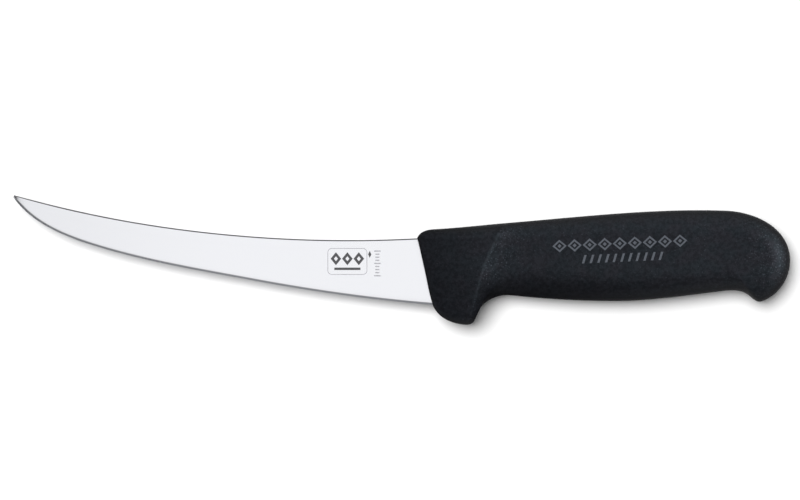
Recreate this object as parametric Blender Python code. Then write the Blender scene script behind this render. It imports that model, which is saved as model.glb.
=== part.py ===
"""A curved boning knife lying on its side: a steel blade with its tang, a stiff core moulded round the tang,
and a grip moulded over the core.

Metres, +Z up. Lengths below are millimetres in the knife's own frame: X runs from the front of the handle to
the butt, Y towards the spine, and Z is the thickness, with 0 in the middle of the blade.
"""

import math
from collections import namedtuple

import bmesh
import bpy
from mathutils import Vector
from mathutils.geometry import interpolate_bezier

MM = 0.001
GAP = 0.3  # clearance between pieces that are moulded against each other
MERGE = 0.001  # points closer than this are one point
SHARP_ANGLE = math.radians(35)  # edges sharper than this are not shaded smooth

# Outlines run through knots with a heading in degrees. A rim knot also has the steps to the next knot, the
# width of the rounding from the rim to the side, and the share of the thickness that stands square there.
Knot = namedtuple("Knot", "x y heading")
RimKnot = namedtuple("RimKnot", "x y heading steps rounding square")
MiddleKnot = namedtuple("MiddleKnot", "x y steps")

# The straight front face of the handle, where the blade enters.
FACE_TOP = Vector((-0.3, 0.3))
FACE_BOTTOM = Vector((5.1, -23.5))
FACE_MIDDLE = (FACE_TOP + FACE_BOTTOM) / 2
FACE_ALONG = (FACE_TOP - FACE_BOTTOM).normalized()
FACE_INWARD = Vector((FACE_ALONG.y, -FACE_ALONG.x))
FACE_UP = math.degrees(math.atan2(FACE_ALONG.y, FACE_ALONG.x))
FACE_DOWN = FACE_UP - 180

# Blade, from the heel to the tip.
HEEL_DEPTH = 5.0  # how far the full height of the blade goes into the handle
BLADE_STEPS = 12  # between two knots
SPINE = (Knot(4.8, 0.6, 183.6), Knot(-60.0, 0.9, 175.8), Knot(-118.0, 8.8, 168.4), Knot(-148.2, 16.1, 164.4))
EDGE = (Knot(10.4, -24.5, 176), Knot(-60.0, -15.3, 169.5), Knot(-118.0, -2.7, 163), Knot(-148.6, 15.3, 126))
SPINE_HALF_AT_HEEL = 1.0
SPINE_HALF_AT_TIP = 0.4
SHOULDER_HALF = 0.22  # where the ground side meets the cutting bevel
EDGE_HALF = 0.06
BEVEL_WIDTH = 0.8
BEVEL_SHARE = 0.3  # the bevel never takes more than this share of the blade's height

# Tang: a plate of the blade's full thickness that narrows to a round end, with two locking holes.
TANG_FRONT = 4.6
TANG_FRONT_MIDDLE = -9.2
TANG_FRONT_HALF = 6.0
TANG_END = Vector((94.0, -6.2))  # centre of the round end
TANG_END_RADIUS = 4.2
TANG_HOLE_RADIUS = 2.8
TANG_HOLES_AT = (0.3, 0.78)  # share of the tang's length
ROUND_STEPS = 24  # points round a hole

# Handle outline, from the middle of the front face over the top, or under the guard, to the butt.
TOP_RIM = (
    RimKnot(*FACE_MIDDLE, FACE_UP, 5, 2.4, 0.76),
    RimKnot(*FACE_TOP, FACE_UP, 2, 2.4, 0.76),
    RimKnot(0.0, 1.1, 58, 2, 3.0, 0.60),
    RimKnot(6.0, 3.6, 3, 8, 4.0, 0.30),
    RimKnot(30.5, 5.7, 5, 6, 5.5, 0.05),
    RimKnot(42.0, 6.7, 5, 14, 7.0, 0.03),
    RimKnot(112.6, 10.4, -2, 12, 8.5, 0.03),
    RimKnot(136.4, -7.8, -90, 0, 9.0, 0.03),
)
BOTTOM_RIM = (
    RimKnot(*FACE_MIDDLE, FACE_DOWN, 9, 2.4, 0.76),
    RimKnot(*FACE_BOTTOM, -73, 8, 3.0, 0.60),
    RimKnot(17.4, -31.4, -3, 3, 4.0, 0.30),
    RimKnot(20.7, -29.6, 77, 3, 5.5, 0.20),
    RimKnot(34.2, -20.6, -6, 7, 10.5, 0.05),
    RimKnot(72.0, -22.7, 0, 7, 9.0, 0.03),
    RimKnot(111.0, -19.1, 7, 3, 8.0, 0.03),
    RimKnot(121.2, -20.6, -39, 3, 7.0, 0.03),
    RimKnot(126.1, -22.8, 20, 6, 7.0, 0.03),
    RimKnot(136.4, -7.8, 90, 0, 9.0, 0.03),
)
# The core follows the handle's top, but it runs straight past the guard and the hook at the butt.
CORE_BOTTOM_RIM = (
    RimKnot(*FACE_MIDDLE, FACE_DOWN, 9, 2.4, 0.76),
    RimKnot(*FACE_BOTTOM, -30, 14, 3.0, 0.60),
    RimKnot(34.2, -20.6, -6, 7, 10.5, 0.05),
    RimKnot(72.0, -22.7, 0, 7, 9.0, 0.03),
    RimKnot(111.0, -19.1, 7, 12, 8.0, 0.03),
    RimKnot(136.4, -7.8, 90, 0, 9.0, 0.03),
)
# The line in the middle of the handle that every rim point faces.
MIDDLE_LINE = (
    MiddleKnot(9.5, -11.5, 9),
    MiddleKnot(9.5, -11.5, 8),
    MiddleKnot(23.5, -9.5, 6),
    MiddleKnot(36.0, -8.0, 14),
    MiddleKnot(112.0, -5.5, 12),
    MiddleKnot(112.0, -5.5, 0),
)
OUTER_FINENESS = 2  # multiplies the steps of the outline on the outside
ROUNDING_ROWS = 4
SIDE_ROWS = 2

# Handle thickness, as half of it. The guard's pad rises to the ridge, drops to the waist behind it, and the
# belly stands as proud as the ridge, so that the knife lies level on both.
FACE_HALF = 7.2
BELLY_HALF = 9.3
WAIST_HALF = 7.6
BUTT_HALF = 8.7
PAD_LENGTH = 24.0
RIDGE_AT = 23.5  # x on the middle line
RIDGE_FOOT_AT = 29.5
WAIST_AT = 34.0
BELLY_FROM = 60.0
BELLY_TO = 98.0
BUTT_AT = 112.0
GUARD_DROOP = 1.5  # how much thinner the pad is at the guard's tip
DROOP_FROM = -9.0  # y
DROOP_TO = -30.0

SKIN = 3.0  # thickness of the grip over the core
CORE_FRONT = HEEL_DEPTH + GAP  # how far the core stays behind the front face
LEAST_ROUNDING = 1.5

STEEL = ("steel", (0.72, 0.73, 0.75), 1.0, 0.28)
GRIP_PLASTIC = ("grip_plastic", (0.018, 0.020, 0.021), 0.0, 0.62)
CORE_PLASTIC = ("core_plastic", (0.10, 0.10, 0.11), 0.0, 0.45)


def smooth(share):
    """0 to 1 with a level start and end."""
    share = min(max(share, 0.0), 1.0)
    return share * share * (3 - 2 * share)


def heading_vector(degrees):
    return Vector((math.cos(math.radians(degrees)), math.sin(math.radians(degrees))))


def bend(knot, following, steps):
    """Points between two knots on a Bezier curve; with equal bends at both ends it is a circle's arc."""
    start = Vector((knot.x, knot.y))
    end = Vector((following.x, following.y))
    chord = (end - start).length
    turn = math.radians(abs((following.heading - knot.heading + 180) % 360 - 180))
    handle = chord / 3
    if turn > MERGE:
        handle = 4 / 3 * math.tan(turn / 4) * chord / (2 * math.sin(turn / 2))
    leaving = start + heading_vector(knot.heading) * handle
    arriving = end - heading_vector(following.heading) * handle
    return interpolate_bezier(start, leaving, arriving, end, steps + 1)


def blade_outline(knots):
    """Points along the spine or the edge of the blade."""
    points = [Vector((knots[0].x, knots[0].y))]
    for knot, following in zip(knots, knots[1:]):
        points += bend(knot, following, BLADE_STEPS)[1:]
    return points


def rim_stations(knots, fineness):
    """(point, rounding, square share) along one half of the handle's outline."""
    stations = [(Vector((knots[0].x, knots[0].y)), knots[0].rounding, knots[0].square)]
    for knot, following in zip(knots, knots[1:]):
        steps = knot.steps * fineness
        points = bend(knot, following, steps)
        for step in range(1, steps + 1):
            share = step / steps
            rounding = knot.rounding + (following.rounding - knot.rounding) * share
            square = knot.square + (following.square - knot.square) * share
            stations.append((points[step], rounding, square))
    return stations


def middle_stations(fineness):
    """Points on the middle line, one for each station of a rim."""
    stations = [Vector((MIDDLE_LINE[0].x, MIDDLE_LINE[0].y))]
    for knot, following in zip(MIDDLE_LINE, MIDDLE_LINE[1:]):
        steps = knot.steps * fineness
        ends = Vector((knot.x, knot.y)), Vector((following.x, following.y))
        stations += [ends[0].lerp(ends[1], step / steps) for step in range(1, steps + 1)]
    return stations


def half_thickness(point, along):
    """Half of the handle's thickness at a point that faces the middle line at x = along."""
    behind_face = (point - FACE_TOP).dot(FACE_INWARD)
    rise = math.sin(math.pi / 2 * min(max(behind_face / PAD_LENGTH, 0.0), 1.0))
    pad = FACE_HALF + (BELLY_HALF - FACE_HALF) * rise
    pad -= GUARD_DROOP * smooth((DROOP_FROM - point.y) / (DROOP_FROM - DROOP_TO))
    if along <= RIDGE_AT:
        return pad
    if along < BELLY_TO:
        body = WAIST_HALF + (BELLY_HALF - WAIST_HALF) * smooth((along - WAIST_AT) / (BELLY_FROM - WAIST_AT))
    else:
        body = BELLY_HALF + (BUTT_HALF - BELLY_HALF) * smooth((along - BELLY_TO) / (BUTT_AT - BELLY_TO))
    left = max(1 - (along - RIDGE_AT) / (RIDGE_FOOT_AT - RIDGE_AT), 0.0)
    return body + (pad - body) * left


def handle_rows(station, middle, along_rim, inset):
    """Points from the rim of the handle to its middle line, on the upper side."""
    rim, rounding, square = station
    inward = (middle - rim).normalized()
    shift = inset / abs(inward.cross(along_rim.normalized()))
    rim = rim + inward * shift
    reach = (middle - rim).length
    rounding = max(rounding - shift, LEAST_ROUNDING)
    rows = []
    for row in range(ROUNDING_ROWS + 1):
        angle = math.pi / 2 * row / ROUNDING_ROWS
        rows.append((rounding * (1 - math.cos(angle)), square + (1 - square) * math.sin(angle)))
    for row in range(1, SIDE_ROWS + 1):
        rows.append((rounding + (reach - rounding) * row / SIDE_ROWS, 1.0))
    points = []
    for distance, share in rows:
        point = rim + inward * distance
        height = (half_thickness(point, middle.x) - inset) * share
        points.append(Vector((point.x, point.y, height)))
    return points


def handle_shape(bottom_rim, inset, fineness):
    """A closed surface between the handle's top rim and a bottom rim, moved inwards by inset."""
    middle = middle_stations(fineness)
    top = rim_stations(TOP_RIM, fineness)
    bottom = rim_stations(bottom_rim, fineness)
    ring = list(zip(top, middle)) + list(zip(bottom, middle))[-2:0:-1]
    columns = []
    for index, (station, point) in enumerate(ring):
        along_rim = ring[(index + 1) % len(ring)][0][0] - ring[index - 1][0][0]
        columns.append(handle_rows(station, point, along_rim, inset))
    bm = bmesh.new()
    sides = []
    for side in (1, -1):
        sides.append([[bm.verts.new((p.x, p.y, p.z * side)) for p in column] for column in columns])
    for index in range(len(columns)):
        following = (index + 1) % len(columns)
        upper, lower = sides
        bm.faces.new((upper[index][0], upper[following][0], lower[following][0], lower[index][0]))
        for side in sides:
            for near, far in zip(range(len(side[index])), range(1, len(side[index]))):
                corners = (side[index][near], side[following][near], side[following][far], side[index][far])
                bm.faces.new(corners)
    return finish_surface(bm)


def finish_surface(bm):
    """Welds points that coincide and turns every face outwards."""
    bmesh.ops.remove_doubles(bm, verts=bm.verts[:], dist=MERGE)
    bmesh.ops.dissolve_degenerate(bm, edges=bm.edges[:], dist=MERGE)
    bmesh.ops.recalc_face_normals(bm, faces=bm.faces[:])
    return bm


def cut_behind_face(bm, depth):
    """Removes what lies less than depth behind the handle's front face, and closes the cut."""
    point = FACE_TOP + FACE_INWARD * depth
    geometry = bm.verts[:] + bm.edges[:] + bm.faces[:]
    bmesh.ops.bisect_plane(
        bm,
        geom=geometry,
        plane_co=(point.x, point.y, 0),
        plane_no=(FACE_INWARD.x, FACE_INWARD.y, 0),
        clear_inner=True,
    )
    bmesh.ops.holes_fill(bm, edges=[edge for edge in bm.edges if edge.is_boundary], sides=0)
    return finish_surface(bm)


def blade_section(spine, edge, share, grow):
    """The six corners of the blade's cross-section at a share of its length, widened by grow."""
    spine_half = SPINE_HALF_AT_HEEL + (SPINE_HALF_AT_TIP - SPINE_HALF_AT_HEEL) * share
    down = (edge - spine).normalized()
    height = (edge - spine).length
    bevel = min(BEVEL_WIDTH, BEVEL_SHARE * height)
    corners = (
        (-grow, spine_half + grow),
        (height - bevel, SHOULDER_HALF + grow),
        (height + grow, EDGE_HALF + grow),
    )
    upper = [spine + down * distance for distance, _ in corners]
    halves = [half for _, half in corners]
    ring = [Vector((*p, half)) for p, half in zip(upper, halves)]
    return ring + [Vector((*p, -half)) for p, half in zip(reversed(upper), reversed(halves))]


def blade_shape(grow):
    """The blade from the heel's end to the tip, with its outline and sides moved outwards by grow."""
    spine = blade_outline(SPINE)
    edge = blade_outline(EDGE)
    heel = [point + FACE_INWARD * grow for point in (spine[0], edge[0])]
    bm = bmesh.new()
    rings = []
    for index, (upper, lower) in enumerate(zip([heel[0]] + spine[1:], [heel[1]] + edge[1:])):
        section = blade_section(upper, lower, index / (len(spine) - 1), grow)
        rings.append([bm.verts.new(corner) for corner in section])
    for ring, following in zip(rings, rings[1:]):
        for corner in range(len(ring)):
            other = (corner + 1) % len(ring)
            bm.faces.new((ring[corner], ring[other], following[other], following[corner]))
    bm.faces.new(rings[0])
    bm.faces.new(rings[-1])
    return finish_surface(bm)


def circle(centre, radius):
    turns = [2 * math.pi * step / ROUND_STEPS for step in range(ROUND_STEPS)]
    return [centre + Vector((math.cos(turn), math.sin(turn))) * radius for turn in turns]


def tang_shape(grow):
    """The tang's plate with its two holes, its outline and sides moved outwards by grow."""
    front = Vector((TANG_FRONT, TANG_FRONT_MIDDLE))
    corner = Vector((grow, TANG_FRONT_HALF + grow))
    outline = [front - corner]
    for step in range(ROUND_STEPS // 2 + 1):
        turn = math.pi * (2 * step / ROUND_STEPS - 0.5)
        outline.append(TANG_END + Vector((math.cos(turn), math.sin(turn))) * (TANG_END_RADIUS + grow))
    outline.append(front + Vector((-corner.x, corner.y)))
    holes = [circle(front.lerp(TANG_END, share), TANG_HOLE_RADIUS - grow) for share in TANG_HOLES_AT]
    thickness = 2 * (SPINE_HALF_AT_HEEL + grow)
    bm = bmesh.new()
    edges = []
    for loop in [outline] + holes:
        corners = [bm.verts.new((p.x, p.y, -thickness / 2)) for p in loop]
        edges += [bm.edges.new((a, b)) for a, b in zip(corners, corners[1:] + corners[:1])]
    plate = bmesh.ops.triangle_fill(bm, use_beauty=True, edges=edges)["geom"]
    faces = [item for item in plate if isinstance(item, bmesh.types.BMFace)]
    raised = bmesh.ops.extrude_face_region(bm, geom=faces, use_keep_orig=True)["geom"]
    lifted = [item for item in raised if isinstance(item, bmesh.types.BMVert)]
    bmesh.ops.translate(bm, verts=lifted, vec=(0, 0, thickness))
    return finish_surface(bm)


def add_object(name, bm, parent):
    """Makes a named object from a surface in millimetres."""
    bmesh.ops.scale(bm, vec=(MM, MM, MM), verts=bm.verts[:])
    mesh = bpy.data.meshes.new(name)
    bm.to_mesh(mesh)
    bm.free()
    obj = bpy.data.objects.new(name, mesh)
    bpy.context.scene.collection.objects.link(obj)
    obj.parent = parent
    return obj


def add_helper(name, bm, parent):
    """A shape that only cuts or joins another one."""
    helper = add_object(name, bm, parent)
    helper.hide_render = True
    helper.display_type = "WIRE"
    return helper


def combine(obj, helper, operation):
    modifier = obj.modifiers.new(f"{operation.lower()}_{helper.name}", "BOOLEAN")
    modifier.operation = operation
    modifier.solver = "EXACT"
    modifier.object = helper


def finish_looks(obj, looks):
    """Gives the piece its material and smooth shading with sharp corners."""
    name, colour, metallic, roughness = looks
    material = bpy.data.materials.new(name)
    material.use_nodes = True
    principled = material.node_tree.nodes["Principled BSDF"]
    principled.inputs["Base Color"].default_value = (*colour, 1)
    principled.inputs["Metallic"].default_value = metallic
    principled.inputs["Roughness"].default_value = roughness
    obj.data.materials.append(material)
    obj.data.shade_smooth()
    obj.data.set_sharp_from_angle(angle=SHARP_ANGLE)


def knife_frame():
    """The empty that puts the middle of the knife's outline at the origin and its lower side at Z = 0."""
    lowest = min(knot.y for knot in BOTTOM_RIM)
    middle_x = (EDGE[-1].x + BOTTOM_RIM[-1].x) / 2
    middle_y = (lowest + SPINE[-1].y) / 2
    frame = bpy.data.objects.new("knife_frame", None)
    bpy.context.scene.collection.objects.link(frame)
    frame.location = (-middle_x * MM, -middle_y * MM, BELLY_HALF * MM)
    return frame


def build_blade(frame):
    blade = add_object("blade", blade_shape(0), frame)
    tang = add_helper("tang_plate", tang_shape(0), frame)
    combine(blade, tang, "UNION")
    finish_looks(blade, STEEL)


def build_core(frame, tang_slot):
    core_surface = cut_behind_face(handle_shape(CORE_BOTTOM_RIM, SKIN, 1), CORE_FRONT)
    core = add_object("handle_core", core_surface, frame)
    combine(core, tang_slot, "DIFFERENCE")
    finish_looks(core, CORE_PLASTIC)


def build_grip(frame, tang_slot):
    grip = add_object("handle_grip", handle_shape(BOTTOM_RIM, 0, OUTER_FINENESS), frame)
    cavity_surface = cut_behind_face(handle_shape(CORE_BOTTOM_RIM, SKIN - GAP, 1), CORE_FRONT - GAP)
    combine(grip, add_helper("core_cavity", cavity_surface, frame), "DIFFERENCE")
    combine(grip, add_helper("blade_slot", blade_shape(GAP), frame), "DIFFERENCE")
    combine(grip, tang_slot, "DIFFERENCE")
    finish_looks(grip, GRIP_PLASTIC)


def main():
    for obj in list(bpy.data.objects):
        bpy.data.objects.remove(obj, do_unlink=True)
    frame = knife_frame()
    tang_slot = add_helper("tang_slot", tang_shape(GAP), frame)
    build_blade(frame)
    build_core(frame, tang_slot)
    build_grip(frame, tang_slot)


main()
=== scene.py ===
"""The looks of a curved boning knife: a ground steel blade and a black moulded handle, on a white table.

Shapes are worked out in the knife's own millimetres, as in the CAD model: X runs from the front of the
handle to the butt, Y towards the spine, and Z is the thickness, with 0 in the middle of the blade. The unit
and the origin come from the boxes of the CAD model's nodes.
"""

import math
from collections import namedtuple

import bmesh
import bpy
from mathutils import Matrix, Vector
from mathutils.bvhtree import BVHTree
from mathutils.geometry import interpolate_bezier


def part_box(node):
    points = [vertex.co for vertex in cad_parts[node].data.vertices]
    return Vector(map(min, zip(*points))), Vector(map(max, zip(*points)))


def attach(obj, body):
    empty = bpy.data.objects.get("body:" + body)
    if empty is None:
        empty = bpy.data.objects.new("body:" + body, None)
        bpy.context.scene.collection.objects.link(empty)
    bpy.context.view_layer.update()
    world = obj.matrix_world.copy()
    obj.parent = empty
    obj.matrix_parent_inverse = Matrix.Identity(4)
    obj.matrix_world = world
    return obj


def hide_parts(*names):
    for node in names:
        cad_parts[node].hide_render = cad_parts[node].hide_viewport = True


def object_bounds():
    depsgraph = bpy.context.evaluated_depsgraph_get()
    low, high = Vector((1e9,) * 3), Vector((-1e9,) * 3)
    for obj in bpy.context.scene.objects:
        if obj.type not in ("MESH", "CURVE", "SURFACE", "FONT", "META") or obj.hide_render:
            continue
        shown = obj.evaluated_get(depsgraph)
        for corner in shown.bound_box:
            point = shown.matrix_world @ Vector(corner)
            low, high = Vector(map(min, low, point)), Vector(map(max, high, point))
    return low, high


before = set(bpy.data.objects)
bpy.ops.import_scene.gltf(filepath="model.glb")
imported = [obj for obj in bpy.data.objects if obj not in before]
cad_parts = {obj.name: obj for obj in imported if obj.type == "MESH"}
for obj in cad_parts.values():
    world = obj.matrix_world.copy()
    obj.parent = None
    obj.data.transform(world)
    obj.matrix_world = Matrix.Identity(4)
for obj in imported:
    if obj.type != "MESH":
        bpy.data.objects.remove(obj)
CAD_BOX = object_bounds()
GRIP_LOW, GRIP_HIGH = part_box("handle_grip")
BLADE_LOW, BLADE_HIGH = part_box("blade")

GAP = 0.3  # between the core and the grip
TIGHT = 0.03  # between the grip and the steel that it is moulded on
MERGE = 0.001  # points closer than this are one point
STRAIGHT = 0.001  # a bend of fewer radians than this is straight
SHARP_ANGLE = math.radians(30)  # edges sharper than this are not shaded smooth

# Outlines run through knots with a heading in degrees. A rim knot also has the steps to the next knot, the
# width of the rounding from the rim to the side, and the share of the thickness that stands square there.
Knot = namedtuple("Knot", "x y heading")
RimKnot = namedtuple("RimKnot", "x y heading steps rounding square")
MiddleKnot = namedtuple("MiddleKnot", "x y steps")

# The straight front face of the handle, where the blade enters.
FACE_TOP = Vector((-0.3, 0.3))
FACE_BOTTOM = Vector((5.1, -23.5))
FACE_MIDDLE = (FACE_TOP + FACE_BOTTOM) / 2
FACE_ALONG = (FACE_TOP - FACE_BOTTOM).normalized()
FACE_INWARD = Vector((FACE_ALONG.y, -FACE_ALONG.x))
FACE_UP = math.degrees(math.atan2(FACE_ALONG.y, FACE_ALONG.x))
FACE_DOWN = FACE_UP - 180

# Blade, from the heel to the tip.
HEEL_DEPTH = 5.0  # how far the full height of the blade goes into the handle
BLADE_STEPS = 60  # between two knots
SPINE = (Knot(4.8, 0.6, 183.6), Knot(-60.0, 0.9, 175.8), Knot(-118.0, 8.8, 168.4), Knot(-148.2, 16.1, 164.4))
EDGE = (Knot(10.4, -24.5, 176), Knot(-60.0, -15.3, 169.5), Knot(-118.0, -2.7, 163), Knot(-148.6, 15.3, 126))
SPINE_HALF_AT_HEEL = 1.0
SPINE_HALF_AT_TIP = 0.4
SPINE_EASING = 0.45  # radius of the spine's rounded corners
SPINE_EASING_SHARE = 0.85  # the radius never takes more than this share of half the thickness
EASING_ROWS = 5
GROUND_ROWS = 10
SHOULDER_HALF = 0.22  # where the ground side meets the cutting bevel
BEVEL_WIDTH = 1.0
BEVEL_SHARE = 0.3  # the bevel never takes more than this share of the blade's height
HONED_WIDTH = 0.70  # of the finer bevel along the edge, which is a part of BEVEL_WIDTH
HONED_HALF = 0.16
EDGE_HALF = 0.02

# Tang: a plate of the blade's full thickness with a round end and two locking holes.
TANG_FRONT = Vector((4.6, -9.2))
TANG_FRONT_HALF = 6.0
TANG_END = Vector((94.0, -6.2))
TANG_END_RADIUS = 4.2
TANG_HOLE_RADIUS = 2.8
TANG_HOLES_AT = (0.3, 0.78)  # share of the tang's length
ROUND_STEPS = 32  # points round a hole

# Handle. Both halves of the outline run from the middle of the front face to the butt.
TOP_RIM = (
    RimKnot(*FACE_MIDDLE, FACE_UP, 5, 2.4, 0.76),
    RimKnot(*FACE_TOP, FACE_UP, 2, 2.4, 0.76),
    RimKnot(0.0, 1.1, 58, 2, 3.0, 0.60),
    RimKnot(6.0, 3.6, 3, 8, 4.0, 0.30),
    RimKnot(30.5, 5.7, 5, 6, 5.5, 0.05),
    RimKnot(42.0, 6.7, 5, 14, 7.0, 0.03),
    RimKnot(112.6, 10.4, -2, 12, 8.5, 0.03),
    RimKnot(136.4, -7.8, -90, 0, 9.0, 0.03),
)
BOTTOM_RIM = (
    RimKnot(*FACE_MIDDLE, FACE_DOWN, 9, 2.4, 0.76),
    RimKnot(*FACE_BOTTOM, -73, 8, 3.0, 0.60),
    RimKnot(17.4, -31.4, -3, 3, 4.0, 0.30),
    RimKnot(20.7, -29.6, 77, 3, 5.5, 0.20),
    RimKnot(34.2, -20.6, -6, 7, 10.5, 0.05),
    RimKnot(72.0, -22.7, 0, 7, 9.0, 0.03),
    RimKnot(111.0, -19.1, 7, 3, 8.0, 0.03),
    RimKnot(121.2, -20.6, -39, 3, 7.0, 0.03),
    RimKnot(126.1, -22.8, 20, 6, 7.0, 0.03),
    RimKnot(136.4, -7.8, 90, 0, 9.0, 0.03),
)
CORE_BOTTOM_RIM = (
    RimKnot(*FACE_MIDDLE, FACE_DOWN, 9, 2.4, 0.76),
    RimKnot(*FACE_BOTTOM, -30, 14, 3.0, 0.60),
    RimKnot(34.2, -20.6, -6, 7, 10.5, 0.05),
    RimKnot(72.0, -22.7, 0, 7, 9.0, 0.03),
    RimKnot(111.0, -19.1, 7, 12, 8.0, 0.03),
    RimKnot(136.4, -7.8, 90, 0, 9.0, 0.03),
)
MIDDLE_LINE = (
    MiddleKnot(9.5, -11.5, 9),
    MiddleKnot(9.5, -11.5, 8),
    MiddleKnot(23.5, -9.5, 6),
    MiddleKnot(36.0, -8.0, 14),
    MiddleKnot(112.0, -5.5, 12),
    MiddleKnot(112.0, -5.5, 0),
)
FACE_HALF = 7.2  # half of the thickness at the front face
BELLY_HALF = 9.3
WAIST_HALF = 7.6
BUTT_HALF = 8.7
PAD_LENGTH = 24.0  # the guard's pad, from the front face to the ridge
RIDGE_AT = 23.5
RIDGE_FOOT_AT = 29.5
RIDGE_SOFTNESS = 0.03
RIDGE_LIP = 0.15  # share of the ridge's height that drops at once, within LIP_LENGTH of the way to the foot
LIP_LENGTH = 0.15
FOOT_SOFTNESS = 0.2
WAIST_AT = 34.0
BELLY_FROM = 60.0
BELLY_TO = 98.0
BUTT_AT = 112.0
GUARD_DROOP = 1.5  # what half of the guard's thickness loses towards its bottom
DROOP_FROM = -9.0
DROOP_TO = -30.0
SKIN = 3.0  # how far the core lies inside the grip's outer surface
CORE_FRONT = HEEL_DEPTH + GAP
LEAST_ROUNDING = 1.5
SEAM_PROUD = 0.04  # the mould seam round the outline
SEAM_HALF = 0.12

# How finely the grip and its cavity are meshed.
FINENESS = 8
ROUNDING_ROWS = 16
SIDE_ROWS = 10
CORE_FINENESS = 1
CORE_ROUNDING_ROWS = 4
CORE_SIDE_ROWS = 2

# The handle's grain, as shares of full strength, and the stretches with shiny specks. The grain's share also
# sets how light the specks are and how much the plastic shines, so its drop low on the body is painted shade
# and its rise on the ridge's crest is a painted highlight.
PAD_FRONT_GRAIN = 0.28
PAD_BACK_GRAIN = 0.80
GRAIN_EASING = 0.3  # share of the way from the ridge to its foot
WAIST_SHADED_GRAIN = 0.08
BUTT_SHADED_GRAIN = 0.68
LOW_SHARE_AT_RIDGE = 0.35  # how much of the loss low on the body is there at the ridge
LOW_FROM = -10.5
LOW_TO = -21.0
CREST_HIGHLIGHT = 0.6
CREST_AT = 0.12  # share of the way from the ridge to its foot
CREST_WIDTH = 0.17
CREST_TOP = 3.0  # the crest's grain fades out over CREST_FADE up to here
CREST_FADE = 7.0
SPARKLE_RIDGE_TO = 42.0
SPARKLE_BUTT_FROM = 116.0
SPARKLE_BUTT_TO = 130.0

# One knife millimetre in metres, and the knife's origin, in the frame.
MM = (GRIP_HIGH.x - BLADE_LOW.x) / (TOP_RIM[-1].x - EDGE[-1].x)
ORIGIN = Vector(
    (
        GRIP_HIGH.x - TOP_RIM[-1].x * MM,
        BLADE_HIGH.y - SPINE[-1].y * MM,
        (GRIP_LOW.z + GRIP_HIGH.z) / 2,
    )
)

# Decoration. Marks stand proud of the surface and reach into it; each size is of the mark that it names.
MARK_PROUD = 0.02
MARK_SUNK = 0.06
MARK_CUTS = 2  # of each edge, so that a mark follows the surface
CORNER_STEPS = 6
PRINT_CENTRE = (73.5, -1.6)
PRINT_TILT = math.radians(2.5)
PRINT_LOZENGES = 9
PRINT_LOZENGE_PITCH = 5.5
PRINT_LOZENGE_HALF = (2.6, 2.3)
PRINT_LOZENGE_STROKE = 0.6
PRINT_DOT_HALF = (0.75, 0.75)
PRINT_BARS = 11
PRINT_BAR_PITCH = 2.8
PRINT_BAR_OFFSET = (0.8, -5.2)
PRINT_BAR_SIZE = (0.85, 3.0)
PRINT_BAR_SLANT = 0.35
ETCHING_CENTRE = (-26.0, -8.2)
ETCHED_LOZENGES = 3
ETCHED_LOZENGE_PITCH = 4.2
ETCHED_LOZENGE_RISE = 1.0
ETCHED_LOZENGE_HALF = (1.95, 2.4)
ETCHED_LOZENGE_STROKE = 0.95
ETCHED_BAR_DROP = 2.7
ETCHED_BAR_SIZE = (9.6, 0.9)
ETCHED_FRAME_HALF = (7.3, 4.9)
ETCHED_FRAME_RADIUS = 1.6
ETCHED_FRAME_STROKE = 0.25
SMALL_LOZENGE_AT = (-17.8, -5.6)
SMALL_LOZENGE_HALF = (0.6, 1.3)
TICKS = 9
TOP_TICK_AT = (-15.0, -4.4)
TICK_PITCH = 1.13
TICK_SIZE = (1.5, 0.45)
LONG_TICK_SIZE = (2.4, 0.45)
LONG_TICK_EVERY = 4

# A noise's values gather round 0.5, so materials change over these ranges of them.
WIDE_NOISE = (0.3, 0.7)
NARROW_NOISE = (0.35, 0.65)

# Steel, one for each strip of the blade. The sizes of streaks and clouds are in millimetres. The bevel's
# lighter steel is a painted highlight, and the darker honed and eased steels are painted shade: the dark
# lines along the edge and round the spine.
Steel = namedtuple("Steel", "name colour roughness streaks")
STEELS = (
    Steel("ground_steel", (0.903, 0.911, 0.944), 0.16, 0.10),
    Steel("bevel_steel_painted_highlight", (0.95, 0.955, 0.98), 0.14, 0.05),
    Steel("honed_steel_painted_shade", (0.50, 0.51, 0.55), 0.30, 0.05),
    Steel("eased_steel_painted_shade", (0.16, 0.16, 0.17), 0.40, 0.05),
    Steel("cut_steel", (0.45, 0.45, 0.47), 0.40, 0.05),
)
GROUND, BEVEL, HONED, EASED, CUT = range(len(STEELS))
STREAK_SIZE = (0.09, 6.0, 6.0)
STREAK_DEPTH = 0.01
STREAK_SHARE = 0.5  # of the streaks in the shade, the rest being the clouds'
STREAK_SHADE = 0.982  # brightness of the streaks, as a share of the steel's
STEEL_CLOUD_SIZE = 14.0
STEEL_ROUGHNESS_SPREAD = (0.85, 1.2)  # as shares of the strip's roughness
# The steel grows darker towards the tip, between these places.
DARKENING_FROM = -164.0
DARKENING_TO = -54.0
DARKEST_SHARE = 0.91  # brightness at DARKENING_FROM, as a share of the steel's

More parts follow.
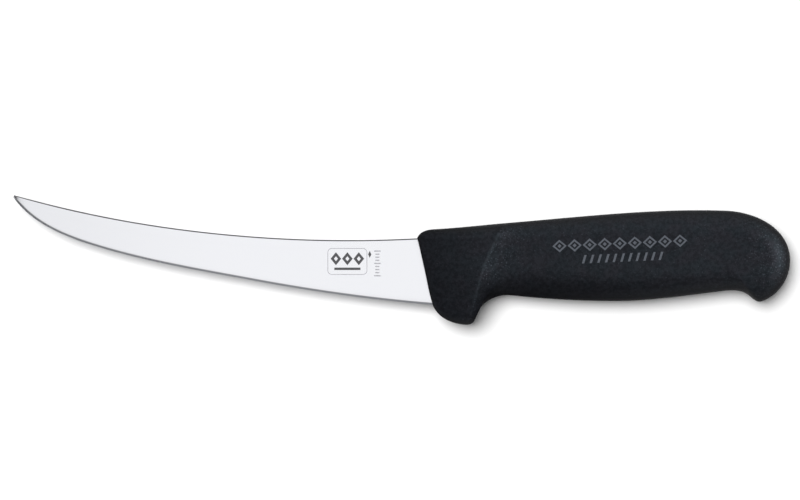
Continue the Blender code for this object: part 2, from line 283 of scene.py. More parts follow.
# Plastic. Sizes are in millimetres, and the shares for dark, light and speck are of the plastic's colour.
GRIP_BLACK = (0.0040, 0.0042, 0.0053)
CORE_GREY = (0.10, 0.10, 0.11)
GRAIN_SIZE = 0.45
GRAIN_DEPTH = 0.08
GRAIN_STRENGTH = 0.8
BLOTCH_SIZE = 1.3
PLASTIC_CLOUD_SIZE = 5.0
FINE_SHARE = 0.45  # of the fine grain in the mottle, the rest being the blotches'
MOTTLE_RANGE = (0.38, 0.62)
SPECK_SIZE = 0.55
SPECK_RANGE = (0.68, 0.76)
SPARKLE_RANGE = (0.54, 0.74)
SPARKLE_GAIN = (-0.06, 1.6)  # change of the gloss between the specks and on them, where sparkle is full
DARK_SHARE = 0.70
LIGHT_SHARE = 1.30
SPECK_SHARE = 5.0
WORN_AND_SHEEN_RANGE = (0.53, 0.60)  # of the surface's pointiness, which is high on its edges
WORN_AND_SHEEN_SHARE = 0.25
PLASTIC_ROUGHNESS = (0.52, 0.68)
PLASTIC_GLOSS = (0.175, 0.255)
TURNED_AWAY_RANGE = (0.2, 0.6)
TURNED_AWAY_GLOSS = 0.24  # share of the gloss where the surface turns away from the view
BLUE_SHINE = (0.78, 0.83, 1.0)
GREEN_SHINE = (0.65, 0.83, 0.98)

# Ink.
PRINT_GREY = (0.085, 0.094, 0.110)
ETCHED_DARK = (0.085, 0.085, 0.09)
ETCHED_PALE = (0.40, 0.40, 0.43)
INK_GRAIN_SIZE = 0.3
INK_GRAIN_DEPTH = 0.02
INK_GRAIN_STRENGTH = 0.3
INK_FADED_SHARE = 0.7
INK_ROUGHNESS = (0.5, 0.7)
INK_GLOSS = 0.15

# Stage. The sky's ranges are sines of the elevation, and the floor's drop is in millimetres.
FLOOR_HALF_SIZE = 10.0
FLOOR_DROP = 0.02
FLOOR_WHITE = (0.8, 0.8, 0.8)
DOME_RANGE = (0.866, 0.978)
BAND_LIGHT = 0.13
SKIRT_RANGE = (0.58, 0.76)
SKIRT_LIGHT = 0.5
Lamp = namedtuple("Lamp", "name energy width azimuth elevation")
KEY = Lamp("key", 3.9, 35, 137, 71.5)
SHINES = (Lamp("side", 3.8, 20, 12, 30), Lamp("top", 0.98, 40, 105, 50))
LENS = 200
SENSOR_WIDTH = 36
VIEW_WIDTH = 1.030  # how much the view takes in and where it looks, in knife lengths
VIEW_SHIFT = Vector((-0.0021, 0.0128, 0))
CLIP_END = 100


def smooth(share):
    """0 to 1 with a level start and end."""
    share = min(max(share, 0.0), 1.0)
    return share * share * (3 - 2 * share)


def mix(low, high, share):
    return low + (high - low) * share


def turned(degrees):
    return Vector((math.cos(math.radians(degrees)), math.sin(math.radians(degrees))))


def bend(knot, following, steps):
    """Points between two knots on a Bezier curve; with equal bends at both ends it is a circle's arc."""
    start = Vector((knot.x, knot.y))
    end = Vector((following.x, following.y))
    chord = (end - start).length
    turn = math.radians(abs((following.heading - knot.heading + 180) % 360 - 180))
    handle = chord / 3
    if turn > STRAIGHT:
        handle = 4 / 3 * math.tan(turn / 4) * chord / (2 * math.sin(turn / 2))
    leaving = start + turned(knot.heading) * handle
    arriving = end - turned(following.heading) * handle
    return interpolate_bezier(start, leaving, arriving, end, steps + 1)


def outline(knots):
    points = [Vector((knots[0].x, knots[0].y))]
    for knot, following in zip(knots, knots[1:]):
        points += bend(knot, following, BLADE_STEPS)[1:]
    return points


def rim_stations(knots, fineness):
    """(point, rounding, square share) along one half of the handle's outline."""
    stations = [(Vector((knots[0].x, knots[0].y)), knots[0].rounding, knots[0].square)]
    for knot, following in zip(knots, knots[1:]):
        steps = knot.steps * fineness
        points = bend(knot, following, steps)
        for step in range(1, steps + 1):
            share = smooth(step / steps) if fineness > 1 else step / steps
            rounding = mix(knot.rounding, following.rounding, share)
            square = mix(knot.square, following.square, share)
            stations.append((points[step], rounding, square))
    return stations


def middle_stations(fineness):
    """Points on the middle line, one for each station of a rim."""
    stations = [Vector((MIDDLE_LINE[0].x, MIDDLE_LINE[0].y))]
    for knot, following in zip(MIDDLE_LINE, MIDDLE_LINE[1:]):
        steps = knot.steps * fineness
        ends = Vector((knot.x, knot.y)), Vector((following.x, following.y))
        stations += [ends[0].lerp(ends[1], step / steps) for step in range(1, steps + 1)]
    return stations


def hinge(share, softness):
    """The larger of share and 0, with a softened corner."""
    return (share + math.hypot(share, softness)) / 2


def past_ridge(along):
    """How far along is behind the ridge, as a share of the way to the ridge's foot."""
    return hinge((along - RIDGE_AT) / (RIDGE_FOOT_AT - RIDGE_AT), RIDGE_SOFTNESS)


def ridge_left(past):
    """The share of the ridge's height that is left: a crisp lip, then a straight slope to a soft foot."""
    lip = hinge(1 - past / LIP_LENGTH, RIDGE_SOFTNESS)
    slope = hinge(1 - past, FOOT_SOFTNESS)
    return min(mix(slope, lip, RIDGE_LIP), 1.0)


def along_pad(point):
    """How far a point is along the guard's pad, from 0 at the front face to 1 at its end."""
    return min(max((point - FACE_TOP).dot(FACE_INWARD) / PAD_LENGTH, 0.0), 1.0)


def half_thickness(point, along):
    """Half of the handle's thickness at a point that faces the middle line at x = along."""
    pad = mix(FACE_HALF, BELLY_HALF, math.sin(math.pi / 2 * along_pad(point)))
    pad -= GUARD_DROOP * smooth((DROOP_FROM - point.y) / (DROOP_FROM - DROOP_TO))
    if along < BELLY_TO:
        body = mix(WAIST_HALF, BELLY_HALF, smooth((along - WAIST_AT) / (BELLY_FROM - WAIST_AT)))
    else:
        body = mix(BELLY_HALF, BUTT_HALF, smooth((along - BELLY_TO) / (BUTT_AT - BELLY_TO)))
    return mix(body, pad, ridge_left(past_ridge(along)))


def grain_and_light_level(point, along):
    """How coarse and shiny the grain is and how light its specks: least on the pad's front; low on the body
    the drop is painted shade, and on the crest the rise is a painted highlight.
    """
    pad = mix(PAD_FRONT_GRAIN, PAD_BACK_GRAIN, along_pad(point))
    low = mix(WAIST_SHADED_GRAIN, BUTT_SHADED_GRAIN, smooth((along - WAIST_AT) / (BUTT_AT - WAIST_AT)))
    past = past_ridge(along)
    depth = smooth((LOW_FROM - point.y) / (LOW_FROM - LOW_TO))
    # Low on the body the share drops as painted shade, on the flank turned away from the light.
    body = mix(1.0, low, depth * mix(LOW_SHARE_AT_RIDGE, 1.0, min(past, 1.0)))
    # On the ridge's crest the share rises as a painted highlight.
    crest = CREST_HIGHLIGHT * body * max(1 - abs(past - CREST_AT) / CREST_WIDTH, 0.0)
    crest *= smooth((CREST_TOP - point.y) / CREST_FADE)
    return mix(pad, body, smooth(past / GRAIN_EASING)) + crest


def sparkle_level(point, along):
    """How shiny the specks are: most where a hand wears the grain, behind the ridge and on the butt."""
    ridge = smooth((SPARKLE_RIDGE_TO - along) / (SPARKLE_RIDGE_TO - RIDGE_AT))
    ridge *= smooth(past_ridge(along) / GRAIN_EASING)
    butt = smooth((point.x - SPARKLE_BUTT_FROM) / (SPARKLE_BUTT_TO - SPARKLE_BUTT_FROM))
    return max(ridge, butt)


def handle_rows(station, middle, along_rim, inset, rounding_rows, side_rows):
    """Points from the rim of the handle to its middle line, on the upper side."""
    rim, rounding, square = station
    inward = (middle - rim).normalized()
    shift = inset / abs(inward.cross(along_rim.normalized()))
    rim = rim + inward * shift
    reach = (middle - rim).length
    rounding = max(rounding - shift, LEAST_ROUNDING)
    rows = []
    for row in range(rounding_rows + 1):
        angle = math.pi / 2 * row / rounding_rows
        rows.append((rounding * (1 - math.cos(angle)), square + (1 - square) * math.sin(angle)))
    for row in range(1, side_rows + 1):
        rows.append((rounding + (reach - rounding) * row / side_rows, 1.0))
    points = []
    for distance, share in rows:
        point = rim + inward * distance
        height = (half_thickness(point, middle.x) - inset) * share
        points.append(Vector((point.x, point.y, height)))
    return points


def seam_points(rim, middle, height):
    """The three points of the mould seam, which stands a little proud half-way between the sides."""
    proud = rim + (rim - middle).normalized() * SEAM_PROUD
    return [(rim.x, rim.y, height), (proud.x, proud.y, 0), (rim.x, rim.y, -height)]


def handle_shape(bottom_rim, inset, fineness, rounding_rows, side_rows):
    """A closed surface between the handle's top rim and a bottom rim, moved inwards by inset."""
    middle = middle_stations(fineness)
    top = rim_stations(TOP_RIM, fineness)
    bottom = rim_stations(bottom_rim, fineness)
    ring = list(zip(top, middle)) + list(zip(bottom, middle))[-2:0:-1]
    bm = bmesh.new()
    grain_and_painted_light = bm.verts.layers.float.new("grain_and_painted_light")
    sparkle = bm.verts.layers.float.new("sparkle")
    columns = []
    for index, (station, point) in enumerate(ring):
        along_rim = ring[(index + 1) % len(ring)][0][0] - ring[index - 1][0][0]
        rows = handle_rows(station, point, along_rim, inset, rounding_rows, side_rows)
        upper = [bm.verts.new((p.x, p.y, p.z)) for p in rows]
        lower = [bm.verts.new((p.x, p.y, -p.z)) for p in rows]
        seam = []
        if inset == 0:
            height = min(SEAM_HALF, rows[0].z / 2)
            seam = [bm.verts.new(place) for place in seam_points(station[0], point, height)]
        columns.append(list(reversed(upper)) + seam + lower)
        for vert in columns[-1]:
            vert[grain_and_painted_light] = grain_and_light_level(vert.co.xy, point.x)
            vert[sparkle] = sparkle_level(vert.co.xy, point.x)
    for column, following in zip(columns, columns[1:] + columns[:1]):
        for row in range(len(column) - 1):
            bm.faces.new((column[row], following[row], following[row + 1], column[row + 1]))
    return finish_surface(bm)


def finish_surface(bm):
    """Welds points that coincide and turns every face outwards."""
    bmesh.ops.remove_doubles(bm, verts=bm.verts[:], dist=MERGE)
    bmesh.ops.dissolve_degenerate(bm, edges=bm.edges[:], dist=MERGE)
    bmesh.ops.recalc_face_normals(bm, faces=bm.faces[:])
    return bm


def cut_behind_face(bm, depth):
    """Removes what lies less than depth behind the handle's front face, and closes the cut."""
    point = FACE_TOP + FACE_INWARD * depth
    bmesh.ops.bisect_plane(
        bm,
        geom=bm.verts[:] + bm.edges[:] + bm.faces[:],
        plane_co=(point.x, point.y, 0),
        plane_no=(FACE_INWARD.x, FACE_INWARD.y, 0),
        clear_inner=True,
    )
    bmesh.ops.holes_fill(bm, edges=[edge for edge in bm.edges if edge.is_boundary], sides=0)
    return finish_surface(bm)


def blade_profile(height, half, grow):
    """(distance from the spine, half thickness, material of the strip that ends there) down one side."""
    easing = min(SPINE_EASING, half * SPINE_EASING_SHARE)
    bevel = min(BEVEL_WIDTH, BEVEL_SHARE * height)
    honed = HONED_WIDTH * bevel / BEVEL_WIDTH
    profile = []
    # The eased corners and the honed edge take steel with painted shade, and the bevel takes steel with a
    # painted highlight.
    for row in range(EASING_ROWS + 1):
        angle = math.pi / 2 * row / EASING_ROWS
        distance = easing * (1 - math.cos(angle)) - grow
        profile.append((distance, half - easing * (1 - math.sin(angle)) + grow, EASED))
    for row in range(1, GROUND_ROWS + 1):
        share = row / GROUND_ROWS
        distance = mix(easing, height - bevel, share)
        profile.append((distance, mix(half, SHOULDER_HALF, share) + grow, GROUND))
    profile.append((height - honed, HONED_HALF + grow, BEVEL))
    profile.append((height + grow, EDGE_HALF + grow, HONED))
    return profile


def blade_shape(grow):
    """The blade from the heel's end to the tip, with its outline and sides moved outwards by grow."""
    spine = outline(SPINE)
    edge = outline(EDGE)
    spine[0] = spine[0] + FACE_INWARD * grow
    edge[0] = edge[0] + FACE_INWARD * grow
    bm = bmesh.new()
    rings = []
    for index, (upper, lower) in enumerate(zip(spine, edge)):
        share = index / (len(spine) - 1)
        half = mix(SPINE_HALF_AT_HEEL, SPINE_HALF_AT_TIP, share)
        down = (lower - upper).normalized()
        profile = blade_profile((lower - upper).length, half, grow)
        places = [(upper + down * distance, thick) for distance, thick, _ in profile]
        ring = [bm.verts.new((p.x, p.y, thick)) for p, thick in places]
        ring += [bm.verts.new((p.x, p.y, -thick)) for p, thick in reversed(places)]
        rings.append(ring)
    one_side = [material for _, _, material in profile[1:]]
    strips = one_side + [HONED] + one_side[::-1] + [CUT]
    for ring, following in zip(rings, rings[1:]):
        for corner in range(len(ring)):
            other = (corner + 1) % len(ring)
            face = bm.faces.new((ring[corner], ring[other], following[other], following[corner]))
            face.material_index = strips[corner]
    bm.faces.new(rings[0])
    bm.faces.new(rings[-1])
    return finish_surface(bm)


def circle(centre, radius):
    turns = [2 * math.pi * step / ROUND_STEPS for step in range(ROUND_STEPS)]
    return [centre + Vector((math.cos(turn), math.sin(turn))) * radius for turn in turns]


def tang_shape(grow):
    """The tang's plate with its two holes, its outline and sides moved outwards by grow."""
    corner = Vector((grow, TANG_FRONT_HALF + grow))
    points = [TANG_FRONT - corner]
    for step in range(ROUND_STEPS // 2 + 1):
        turn = math.pi * (2 * step / ROUND_STEPS - 0.5)
        points.append(TANG_END + Vector((math.cos(turn), math.sin(turn))) * (TANG_END_RADIUS + grow))
    points.append(TANG_FRONT + Vector((-corner.x, corner.y)))
    holes = [circle(TANG_FRONT.lerp(TANG_END, share), TANG_HOLE_RADIUS - grow) for share in TANG_HOLES_AT]
    thickness = 2 * (SPINE_HALF_AT_HEEL + grow)
    bm = bmesh.new()
    edges = []
    for loop in [points] + holes:
        corners = [bm.verts.new((p.x, p.y, -thickness / 2)) for p in loop]
        edges += [bm.edges.new((a, b)) for a, b in zip(corners, corners[1:] + corners[:1])]
    plate = bmesh.ops.triangle_fill(bm, use_beauty=True, edges=edges)["geom"]
    faces = [item for item in plate if isinstance(item, bmesh.types.BMFace)]
    raised = bmesh.ops.extrude_face_region(bm, geom=faces, use_keep_orig=True)["geom"]
    lifted = [item for item in raised if isinstance(item, bmesh.types.BMVert)]
    bmesh.ops.translate(bm, verts=lifted, vec=(0, 0, thickness))
    return finish_surface(bm)


def add_object(name, bm, materials=()):
    """Makes an object in the frame from a surface in knife millimetres."""
    for vert in bm.verts:
        vert.co = ORIGIN + vert.co * MM
    mesh = bpy.data.meshes.new(name)
    for material in materials:
        mesh.materials.append(material)
    bm.to_mesh(mesh)
    bm.free()
    obj = bpy.data.objects.new(name, mesh)
    bpy.context.scene.collection.objects.link(obj)
    return obj


def combine(obj, operation, *helpers):
    """Cuts or joins the helpers' shapes, which are then removed."""
    for helper in helpers:
        modifier = obj.modifiers.new(helper.name, "BOOLEAN")
        modifier.operation = operation
        modifier.solver = "EXACT"
        modifier.object = helper
    evaluated = obj.evaluated_get(bpy.context.evaluated_depsgraph_get())
    mesh = bpy.data.meshes.new_from_object(evaluated)
    obj.modifiers.clear()
    obj.data = mesh
    for helper in helpers:
        bpy.data.objects.remove(helper, do_unlink=True)


def finish_piece(obj):
    """Shades a piece smoothly between its sharp edges, and lets it ride with the knife."""
    obj.data.shade_smooth()
    obj.data.set_sharp_from_angle(angle=SHARP_ANGLE)
    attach(obj, "root")


# ---- materials ----


class Nodes:
    """A material's or a world's node tree, with short calls to add to it."""

    def __init__(self, tree):
        self.tree = tree

    def add(self, kind, inputs=None, **settings):
        node = self.tree.nodes.new(kind)
        for name, value in settings.items():
            setattr(node, name, value)
        for name, value in (inputs or {}).items():
            self.set(node.inputs[name], value)
        return node

    def set(self, socket, value):
        if isinstance(value, bpy.types.NodeSocket):
            self.tree.links.new(value, socket)
        else:
            socket.default_value = value

    def millimetres(self, size):
        """Object coordinates in units of size, a length or three lengths in millimetres."""
        sizes = size if isinstance(size, tuple) else (size, size, size)
        place = self.add("ShaderNodeTexCoord").outputs["Object"]
        scale = tuple(1 / (MM * side) for side in sizes)
        return self.add("ShaderNodeMapping", {"Vector": place, "Scale": scale}).outputs["Vector"]

    def noise(self, size, detail):
        """Noise from 0 to 1 with features of this size in millimetres."""
        inputs = {"Vector": self.millimetres(size), "Scale": 1.0, "Detail": detail}
        return self.add("ShaderNodeTexNoise", inputs).outputs["Fac"]

    def remap(self, value, span, low=0.0, high=1.0):
        """Goes smoothly from low to high as the value crosses the span."""
        inputs = {"Value": value, "From Min": span[0], "From Max": span[1], "To Min": low, "To Max": high}
        return self.add("ShaderNodeMapRange", inputs, interpolation_type="SMOOTHSTEP").outputs["Result"]

    def maths(self, operation, *values):
        node = self.add("ShaderNodeMath", operation=operation)
        for socket, value in zip(node.inputs, values):
            self.set(socket, value)
        return node.outputs[0]

    def blend(self, first, second, share):
        """This share of the first value, and the rest of the second."""
        return self.maths("MULTIPLY_ADD", first, share, self.maths("MULTIPLY", second, 1 - share))

    def colours(self, share, low, high):
        """A colour between two, by a share from 0 to 1."""
        node = self.add("ShaderNodeMix", data_type="RGBA")
        self.set(node.inputs["Factor"], share)
        for socket, value in (("A", low), ("B", high)):
            colour = value if isinstance(value, bpy.types.NodeSocket) else (*value, 1)
            self.set([i for i in node.inputs if i.name == socket and i.type == "RGBA"][0], colour)
        return [o for o in node.outputs if o.type == "RGBA"][0]

    def bump(self, height, strength, distance):
        inputs = {"Height": height, "Strength": strength, "Distance": distance * MM}
        return self.add("ShaderNodeBump", inputs).outputs["Normal"]


def new_material(name):
    material = bpy.data.materials.new(name)
    material.use_nodes = True
    return material, Nodes(material.node_tree), material.node_tree.nodes["Principled BSDF"].inputs


def dimmed(colour, share):
    return tuple(part * share for part in colour)


def steel(name, colour, roughness, streaks):
    """Ground steel: very fine lines across the blade, a faint cloudiness, and darker towards the tip."""
    material, nodes, surface = new_material(name)
    lines = nodes.noise(STREAK_SIZE, detail=3.0)
    clouds = nodes.noise(STEEL_CLOUD_SIZE, detail=2.0)
    shade = nodes.blend(lines, clouds, STREAK_SHARE)
    place = nodes.add("ShaderNodeSeparateXYZ", {"Vector": nodes.millimetres(1.0)}).outputs["X"]
    # Darker towards the tip.
    steel_brightness = nodes.remap(place, (DARKENING_FROM, DARKENING_TO), DARKEST_SHARE, 1.0)
    steel_brightness = nodes.maths("MULTIPLY", steel_brightness, nodes.remap(shade, NARROW_NOISE, STREAK_SHADE, 1.0))
    nodes.set(surface["Base Color"], nodes.colours(steel_brightness, (0, 0, 0), colour))
    nodes.set(surface["Metallic"], 1.0)
    rough = (roughness * part for part in STEEL_ROUGHNESS_SPREAD)
    nodes.set(surface["Roughness"], nodes.remap(shade, WIDE_NOISE, *rough))
    nodes.set(surface["Normal"], nodes.bump(lines, streaks, STREAK_DEPTH))
    return material


def attribute(nodes, name):
    return nodes.add("ShaderNodeAttribute", attribute_name=name).outputs["Fac"]


def moulded_plastic(name, colour, graded):
    """Moulded plastic: mottled leathery grain, cool cloudiness, light specks, and edges lightened partly by
    wear and partly as painted sheen.

    Graded plastic takes the strength of its grain, with the painted shade and highlight that this strength
    carries, and of its sparkle from the mesh.
    """
    material, nodes, surface = new_material(name)
    fine = nodes.noise(GRAIN_SIZE, detail=3.0)
    blotches = nodes.noise(BLOTCH_SIZE, detail=2.0)
    clouds = nodes.remap(nodes.noise(PLASTIC_CLOUD_SIZE, detail=2.0), NARROW_NOISE)
    spots = nodes.noise(SPECK_SIZE, detail=1.0)
    grain_and_painted_light = attribute(nodes, "grain_and_painted_light") if graded else 1.0
    sparkle = attribute(nodes, "sparkle") if graded else 0.0
    tone = nodes.blend(fine, blotches, FINE_SHARE)
    mottle = nodes.remap(tone, MOTTLE_RANGE)
    speck = dimmed(colour, SPECK_SHARE)
    shade = nodes.colours(mottle, dimmed(colour, DARK_SHARE), dimmed(colour, LIGHT_SHARE))
    # The specks grow lighter with the grain share, so they carry its painted shade and painted highlight.
    shade = nodes.colours(nodes.maths("MULTIPLY", nodes.remap(spots, SPECK_RANGE), grain_and_painted_light), shade, speck)
    pointed = nodes.add("ShaderNodeNewGeometry").outputs["Pointiness"]
    # Edges are lightened towards the specks' colour, partly as wear and partly as painted sheen.
    shade = nodes.colours(nodes.remap(pointed, WORN_AND_SHEEN_RANGE, 0.0, WORN_AND_SHEEN_SHARE), shade, speck)
    nodes.set(surface["Base Color"], shade)
    nodes.set(surface["Roughness"], nodes.remap(tone, WIDE_NOISE, *PLASTIC_ROUGHNESS))
    away = nodes.add("ShaderNodeLayerWeight", {"Blend": 0.5}).outputs["Facing"]
    gloss = nodes.remap(mottle, (0.0, 1.0), *PLASTIC_GLOSS)
    gloss = nodes.maths("MULTIPLY", gloss, nodes.remap(away, TURNED_AWAY_RANGE, 1.0, TURNED_AWAY_GLOSS))
    glint = nodes.remap(spots, SPARKLE_RANGE, *SPARKLE_GAIN)
    gloss = nodes.maths("MULTIPLY", gloss, nodes.maths("MULTIPLY_ADD", glint, sparkle, 1.0))
    # The sheen follows the grain share too, with its painted shade and painted highlight.
    nodes.set(surface["Specular IOR Level"], nodes.maths("MULTIPLY", gloss, grain_and_painted_light))
    nodes.set(surface["Specular Tint"], nodes.colours(clouds, BLUE_SHINE, GREEN_SHINE))
    strength = nodes.maths("MULTIPLY", grain_and_painted_light, GRAIN_STRENGTH)
    nodes.set(surface["Normal"], nodes.bump(fine, strength, GRAIN_DEPTH))
    return material


def ink(name, colour):
    """Thin matte print that lets a little of the grain through."""
    material, nodes, surface = new_material(name)
    fine = nodes.noise(INK_GRAIN_SIZE, detail=2.0)
    faded = dimmed(colour, INK_FADED_SHARE)
    nodes.set(surface["Base Color"], nodes.colours(nodes.remap(fine, NARROW_NOISE), faded, colour))
    nodes.set(surface["Roughness"], nodes.remap(fine, WIDE_NOISE, *INK_ROUGHNESS))
    nodes.set(surface["Specular IOR Level"], INK_GLOSS)
    nodes.set(surface["Normal"], nodes.bump(fine, INK_GRAIN_STRENGTH, INK_GRAIN_DEPTH))
    return material


# ---- pieces ----


def build_blade():
    """The blade and the tang as one piece; returns the blade's sides in knife millimetres."""
    bm = blade_shape(0)
    surface = BVHTree.FromBMesh(bm)
    blade = add_object("blade_steel", bm, [steel(*finish) for finish in STEELS])
    combine(blade, "UNION", add_object("tang", tang_shape(0)))
    finish_piece(blade)
    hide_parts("blade")
    return surface


def build_grip():
    """The hollow skin; returns its object, and its outer surface in knife millimetres."""
    bm = handle_shape(BOTTOM_RIM, 0, FINENESS, ROUNDING_ROWS, SIDE_ROWS)
    surface = BVHTree.FromBMesh(bm)
    grip = add_object("grip_skin", bm, [moulded_plastic("grip_black", GRIP_BLACK, True)])
    core_rows = (CORE_FINENESS, CORE_ROUNDING_ROWS, CORE_SIDE_ROWS)
    cavity = cut_behind_face(handle_shape(CORE_BOTTOM_RIM, SKIN - GAP, *core_rows), CORE_FRONT - GAP)
    combine(
        grip,
        "DIFFERENCE",
        add_object("cavity", cavity),
        add_object("blade_slot", blade_shape(TIGHT)),
        add_object("tang_slot", tang_shape(TIGHT)),
    )
    finish_piece(grip)
    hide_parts("handle_grip")
    return grip, surface


def finish_core():
    """The core is the CAD model's own node, hidden in the grip."""
    material = moulded_plastic("core_grey", CORE_GREY, False)
    for material_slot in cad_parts["handle_core"].material_slots:
        material_slot.link = "OBJECT"
        material_slot.material = material


# ---- generic decoration ----


def shifted(point, across, up):
    return (point[0] + across, point[1] + up)


def row_of(count):
    """Whole numbers round 0, for an odd count of marks in a row."""
    return range(-(count // 2), count // 2 + 1)


def bar(centre, size, slant=0.0):
    """A bar that leans to the right by slant times its height."""
    across = size[0] / 2
    up = size[1] / 2
    lean = up * slant
    corners = ((-across - lean, -up), (across - lean, -up), (across + lean, up), (lean - across, up))
    return [shifted(centre, *corner) for corner in corners]


def lozenge(centre, half):
    across, up = half
    return [shifted(centre, *corner) for corner in ((-across, 0), (0, -up), (across, 0), (0, up))]


def rounded_box(centre, half, radius):
    points = []
    for quarter in range(4):
        across = half[0] - radius if quarter in (0, 3) else radius - half[0]
        up = half[1] - radius if quarter in (0, 1) else radius - half[1]
        for step in range(CORNER_STEPS + 1):
            turn = turned(90 * (quarter + step / CORNER_STEPS)) * radius
            points.append(shifted(centre, across + turn.x, up + turn.y))
    return points


def band(outer, inner):
    """The faces between two closed outlines with the same number of points."""
    faces = []
    for index in range(len(outer)):
        following = (index + 1) % len(outer)
        faces.append([outer[index], outer[following], inner[following], inner[index]])
    return faces


def lozenge_ring(centre, half, stroke):
    share = 1 - stroke * math.hypot(*half) / (half[0] * half[1])
    return band(lozenge(centre, half), lozenge(centre, (half[0] * share, half[1] * share)))


def rounded_frame(centre, half, radius, stroke):
    inner = rounded_box(centre, (half[0] - stroke, half[1] - stroke), radius - stroke)
    return band(rounded_box(centre, half, radius), inner)


def lay_on(surface, name, faces, material, tilt=0.0, pivot=(0, 0)):
    """Lays flat faces on a surface as thin closed shapes, turned by tilt round the pivot."""
    bm = bmesh.new()
    for points in faces:
        bm.faces.new([bm.verts.new((x, y, 0)) for x, y in points])
    bmesh.ops.remove_doubles(bm, verts=bm.verts[:], dist=MERGE)
    bmesh.ops.subdivide_edges(bm, edges=bm.edges[:], cuts=MARK_CUTS, use_grid_fill=True)
    bmesh.ops.rotate(bm, verts=bm.verts[:], cent=(*pivot, 0), matrix=Matrix.Rotation(tilt, 3, "Z"))
    raised = bmesh.ops.extrude_face_region(bm, geom=bm.faces[:], use_keep_orig=True)["geom"]
    upper = {item for item in raised if isinstance(item, bmesh.types.BMVert)}
    for vert in bm.verts:
        above = Vector((vert.co.x, vert.co.y, 2 * BELLY_HALF))
        height = surface.ray_cast(above, Vector((0, 0, -1)))[0].z
        vert.co.z = height + (MARK_PROUD if vert in upper else -MARK_SUNK)
    finish_surface(bm)
    finish_piece(add_object(name, bm, [material]))


def build_print(surface):
    """Two rows of plain ornament where the handle is printed: lozenges over leaning bars."""
    faces = []
    for place in row_of(PRINT_LOZENGES):
        centre = shifted(PRINT_CENTRE, place * PRINT_LOZENGE_PITCH, 0)
        faces += lozenge_ring(centre, PRINT_LOZENGE_HALF, PRINT_LOZENGE_STROKE)
        faces += [lozenge(centre, PRINT_DOT_HALF)]
    middle = shifted(PRINT_CENTRE, *PRINT_BAR_OFFSET)
    for place in row_of(PRINT_BARS):
        faces += [bar(shifted(middle, place * PRINT_BAR_PITCH, 0), PRINT_BAR_SIZE, PRINT_BAR_SLANT)]
    lay_on(surface, "handle_print", faces, ink("print_grey", PRINT_GREY), PRINT_TILT, PRINT_CENTRE)


def build_etching(surface):
    """Three lozenges over a bar, and a small lozenge beside them, on the blade near the heel."""
    faces = [bar(shifted(ETCHING_CENTRE, 0, -ETCHED_BAR_DROP), ETCHED_BAR_SIZE)]
    for place in row_of(ETCHED_LOZENGES):
        centre = shifted(ETCHING_CENTRE, place * ETCHED_LOZENGE_PITCH, ETCHED_LOZENGE_RISE)
        faces += lozenge_ring(centre, ETCHED_LOZENGE_HALF, ETCHED_LOZENGE_STROKE)
    faces += [lozenge(SMALL_LOZENGE_AT, SMALL_LOZENGE_HALF)]
    lay_on(surface, "blade_etching", faces, ink("etched_dark", ETCHED_DARK))


def build_ticks(surface):
    """A pale frame round the three lozenges, and a column of ticks beside it."""
    faces = rounded_frame(ETCHING_CENTRE, ETCHED_FRAME_HALF, ETCHED_FRAME_RADIUS, ETCHED_FRAME_STROKE)
    for place in range(TICKS):
        size = TICK_SIZE if place % LONG_TICK_EVERY else LONG_TICK_SIZE
        faces += [bar(shifted(TOP_TICK_AT, 0, -place * TICK_PITCH), size)]
    lay_on(surface, "blade_ticks", faces, ink("etched_pale", ETCHED_PALE))


# ---- stage ----


def build_floor():
    bm = bmesh.new()
    bmesh.ops.create_grid(bm, x_segments=1, y_segments=1, size=FLOOR_HALF_SIZE)
    mesh = bpy.data.meshes.new("floor")
    bm.to_mesh(mesh)
    bm.free()
    floor = bpy.data.objects.new("floor", mesh)
    bpy.context.scene.collection.objects.link(floor)
    floor.location.z = CAD_BOX[0].z - FLOOR_DROP * MM
    material, nodes, surface = new_material("floor_white")
    nodes.set(surface["Base Color"], (*FLOOR_WHITE, 1))
    nodes.set(surface["Roughness"], 1.0)
    nodes.set(surface["Specular IOR Level"], 0.0)
    mesh.materials.append(material)


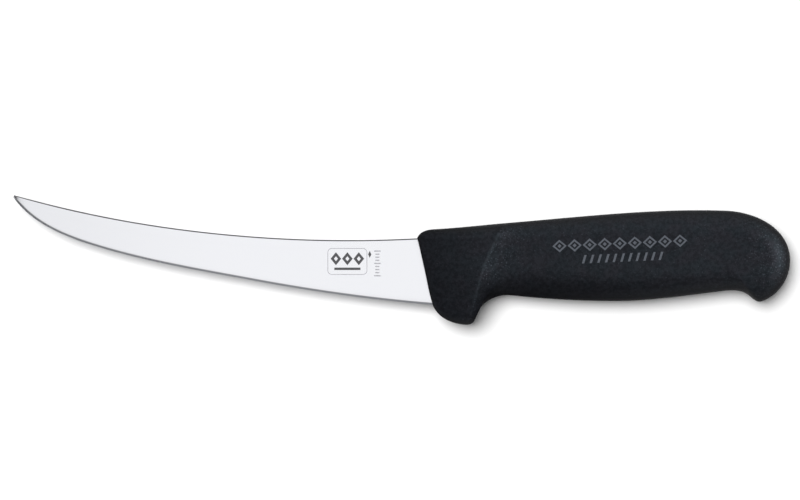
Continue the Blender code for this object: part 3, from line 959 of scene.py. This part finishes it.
def build_sky():
    """A soft white dome over a dark band. The camera sees plain white, and only reflections see the skirt."""
    world = bpy.data.worlds.new("studio")
    world.use_nodes = True
    bpy.context.scene.world = world
    world.node_tree.nodes.clear()
    nodes = Nodes(world.node_tree)
    direction = nodes.add("ShaderNodeTexCoord").outputs["Generated"]
    height = nodes.add("ShaderNodeSeparateXYZ", {"Vector": direction}).outputs["Z"]
    path = nodes.add("ShaderNodeLightPath").outputs
    dome = nodes.remap(height, DOME_RANGE, BAND_LIGHT, 1.0)
    skirt = nodes.remap(height, SKIRT_RANGE, SKIRT_LIGHT, 0.0)
    dome = nodes.maths("MULTIPLY_ADD", skirt, path["Is Glossy Ray"], dome)
    lit = nodes.add("ShaderNodeBackground", {"Strength": dome})
    seen = nodes.add("ShaderNodeBackground", {"Strength": 1.0})
    for background in (lit, seen):
        background.inputs["Color"].default_value = (1, 1, 1, 1)
    both = {0: path["Is Camera Ray"], 1: lit.outputs[0], 2: seen.outputs[0]}
    mixed = nodes.add("ShaderNodeMixShader", both).outputs[0]
    nodes.add("ShaderNodeOutputWorld", {"Surface": mixed})


def build_light(lamp):
    """A distant soft source; its width, azimuth from +X and elevation are in degrees."""
    light = bpy.data.lights.new(lamp.name, "SUN")
    light.energy = lamp.energy
    light.angle = math.radians(lamp.width)
    source = bpy.data.objects.new(lamp.name, light)
    bpy.context.scene.collection.objects.link(source)
    level = turned(lamp.azimuth) * math.cos(math.radians(lamp.elevation))
    towards = Vector((level.x, level.y, math.sin(math.radians(lamp.elevation))))
    source.rotation_mode = "QUATERNION"
    source.rotation_quaternion = towards.to_track_quat("Z", "Y")
    return source


def build_lights(grip):
    """The key light gives no shine, only light and a soft shadow; the other two only make the grip shine."""
    build_light(KEY).visible_glossy = False
    shiny = bpy.data.collections.new("lit_by_shine")
    shiny.objects.link(grip)
    for lamp in SHINES:
        source = build_light(lamp)
        source.visible_diffuse = False
        source.light_linking.receiver_collection = shiny


def build_camera():
    """Straight above the knife, with a long lens."""
    low, high = CAD_BOX
    length = high.x - low.x
    camera = bpy.data.objects.new("camera", bpy.data.cameras.new("camera"))
    bpy.context.scene.collection.objects.link(camera)
    camera.data.lens = LENS
    camera.data.sensor_width = SENSOR_WIDTH
    distance = VIEW_WIDTH * length * LENS / SENSOR_WIDTH
    camera.location = (low + high) / 2 + VIEW_SHIFT * length + Vector((0, 0, distance))
    camera.data.clip_end = CLIP_END
    bpy.context.scene.camera = camera


blade_surface = build_blade()
grip, grip_surface = build_grip()
finish_core()
build_print(grip_surface)
build_etching(blade_surface)
build_ticks(blade_surface)
build_floor()
build_sky()
build_lights(grip)
build_camera()
bpy.context.scene.view_settings.view_transform = "Standard"
